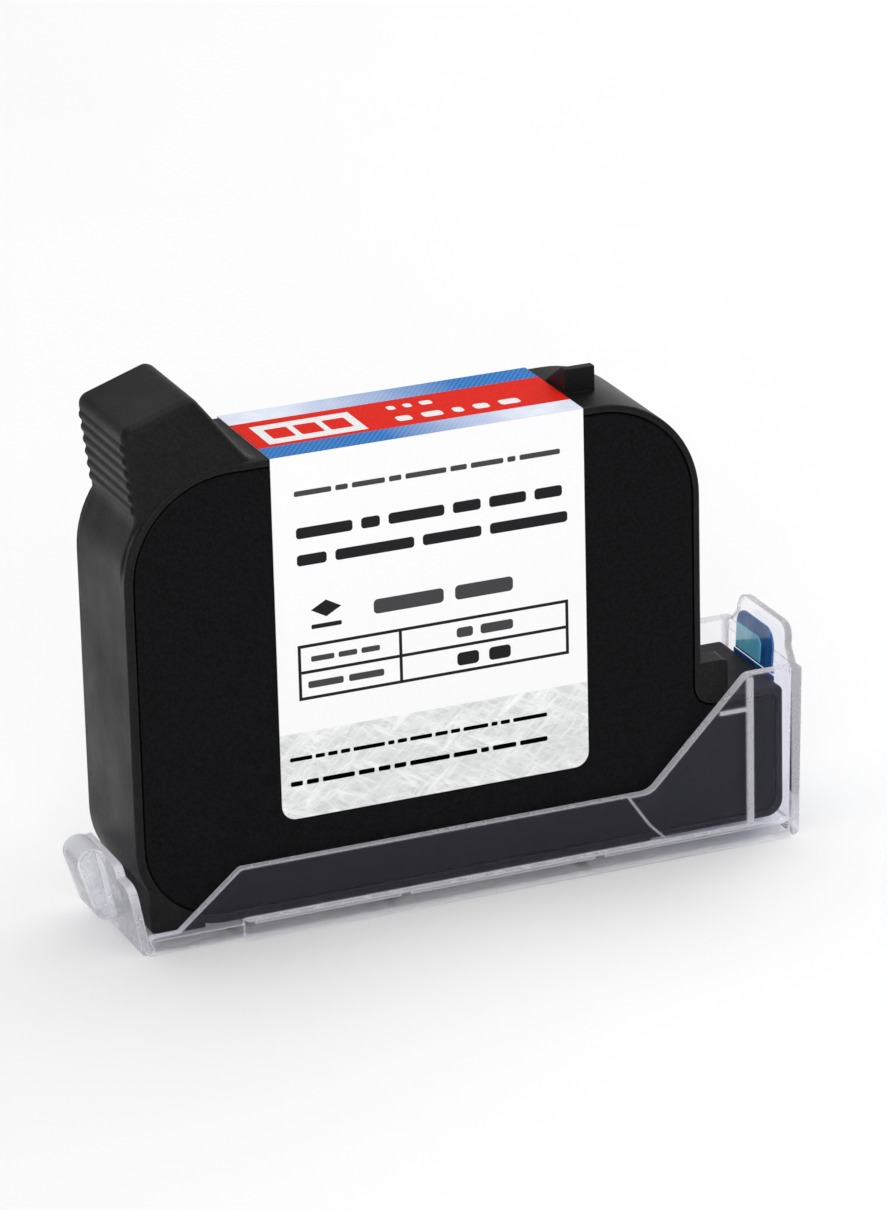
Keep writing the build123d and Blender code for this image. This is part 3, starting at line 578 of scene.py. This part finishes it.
def top_print(red, white):
    left = LABEL_LOW.x
    right = LABEL_HIGH.x
    deep = woven_blue("woven_blue_front", -8.0, 12.0, (0.84, 0.88, 0.96))
    light = woven_blue("woven_blue_back", 8.0, -20.0, (0.86, 0.89, 0.96))
    print_sheets("top_border_front", [rule(left, right, LABEL_LOW.y, RED_FRONT)], on_top, deep)
    print_sheets("top_border_back", [rule(left, right, RED_BACK, LABEL_HIGH.y)], on_top, light)
    u0, u1, v0, v1 = RED_PLATE
    surround = [
        rule(left, u0, RED_FRONT, RED_BACK),
        rule(u1, right, RED_FRONT, RED_BACK),
        rule(u0, u1, RED_FRONT, v0),
        rule(u0, u1, v1, RED_BACK),
    ]
    print_sheets("top_red_band", surround, on_top, red)
    print_sheets("top_plate", [rule(u0, u1, v0, v1)], on_top, white)
    marks = [bar(start, start + 3.1, -0.5, 3.8, 0.25) for start in (-21.4, -17.4, -13.4)]
    print_sheets("top_plate_marks", marks, on_top, red, OVERPRINT_RISE)
    words = word_bars(-3.9, 2.4, 2.1, 1.5, [2, 2, 3])
    words += word_bars(-4.4, 12.9, -2.4, 1.9, [3, 4, 2, 3, 4])
    print_sheets("top_band_lines", words, on_top, white, OVERPRINT_RISE)


def back_print(black, grey, silver):
    left = -LABEL_HIGH.x
    right = -LABEL_LOW.x
    band = [rounded(left, right, LABEL_LOW.z, SILVER_TOP, [LABEL_CORNER, LABEL_CORNER, 0, 0])]
    print_sheets("back_silver_band", band, on_back, silver)
    print_sheets("back_heading", word_bars(-16.0, 21.0, 58.5, 1.3, [6, 4, 7, 3]), on_back, black)
    steps = []
    for row, lengths in enumerate(([4, 6, 3, 7], [6, 3, 5, 4], [3, 8, 4, 2], [5, 5, 4, 3])):
        steps += word_bars(-16.0, 21.0 - 2.5 * row, 53.0 - 3.4 * row, 0.8, lengths)
    print_sheets("back_lines", steps, on_back, grey)
    print_sheets("back_frame", table_lines(-16.0, 21.0, 29.0, 37.0, 33.0, -3.0, 0.34), on_back, black)


def print_label():
    black = printed_ink("ink_black", (0.012, 0.012, 0.014))
    grey = printed_ink("ink_grey", (0.06, 0.06, 0.065))
    pale = printed_ink("ink_pale_grey", (0.12, 0.12, 0.125))
    red = printed_ink("ink_red", (0.76, 0.016, 0.006), 0.5, 0.05)
    white = printed_ink("ink_white", (0.9, 0.9, 0.9))
    silver = crumpled_grey()
    front_print(black, grey, pale, silver)
    top_print(red, white)
    back_print(black, grey, silver)


# ---------------------------------------------------------------- stage, light and camera
def build_floor():
    mesh = bmesh.new()
    bmesh.ops.create_grid(mesh, x_segments=FLOOR_CELLS, y_segments=FLOOR_CELLS, size=FLOOR_HALF)
    from_bmesh("floor", mesh, pale_floor())


def area_light(name, where, size, power):
    """Square lamp that points at the object."""
    data = bpy.data.lights.new(name, "AREA")
    data.size = size
    data.energy = power
    lamp = linked(name, data)
    lamp.location = where
    lamp.rotation_mode = "QUATERNION"
    lamp.rotation_quaternion = (LIGHT_AIM - Vector(where)).to_track_quat("-Z", "Y")


def build_light():
    world = bpy.data.worlds.new("studio")
    world.use_nodes = True
    backdrop = world.node_tree.nodes["Background"]
    backdrop.inputs["Color"].default_value = (1, 1, 1, 1)
    backdrop.inputs["Strength"].default_value = WORLD_STRENGTH
    bpy.context.scene.world = world
    for lamp in LAMPS:
        area_light(*lamp)


def build_camera():
    azimuth, elevation, roll = (math.radians(a) for a in (CAMERA_AZIMUTH, CAMERA_ELEVATION, CAMERA_ROLL))
    flat = math.cos(elevation)
    back = Vector((math.sin(azimuth) * flat, -math.cos(azimuth) * flat, math.sin(elevation)))
    data = bpy.data.cameras.new("camera")
    data.sensor_width = SENSOR_MM
    data.lens = LENS_MM
    camera = linked("camera", data)
    camera.location = CAMERA_TARGET + back * CAMERA_DISTANCE
    camera.rotation_mode = "QUATERNION"
    camera.rotation_quaternion = Quaternion(back, roll) @ (-back).to_track_quat("-Z", "Y")
    bpy.context.scene.camera = camera


finish_cad_nodes()
print_label()
build_floor()
build_light()
build_camera()
bpy.context.scene.view_settings.view_transform = "Standard"
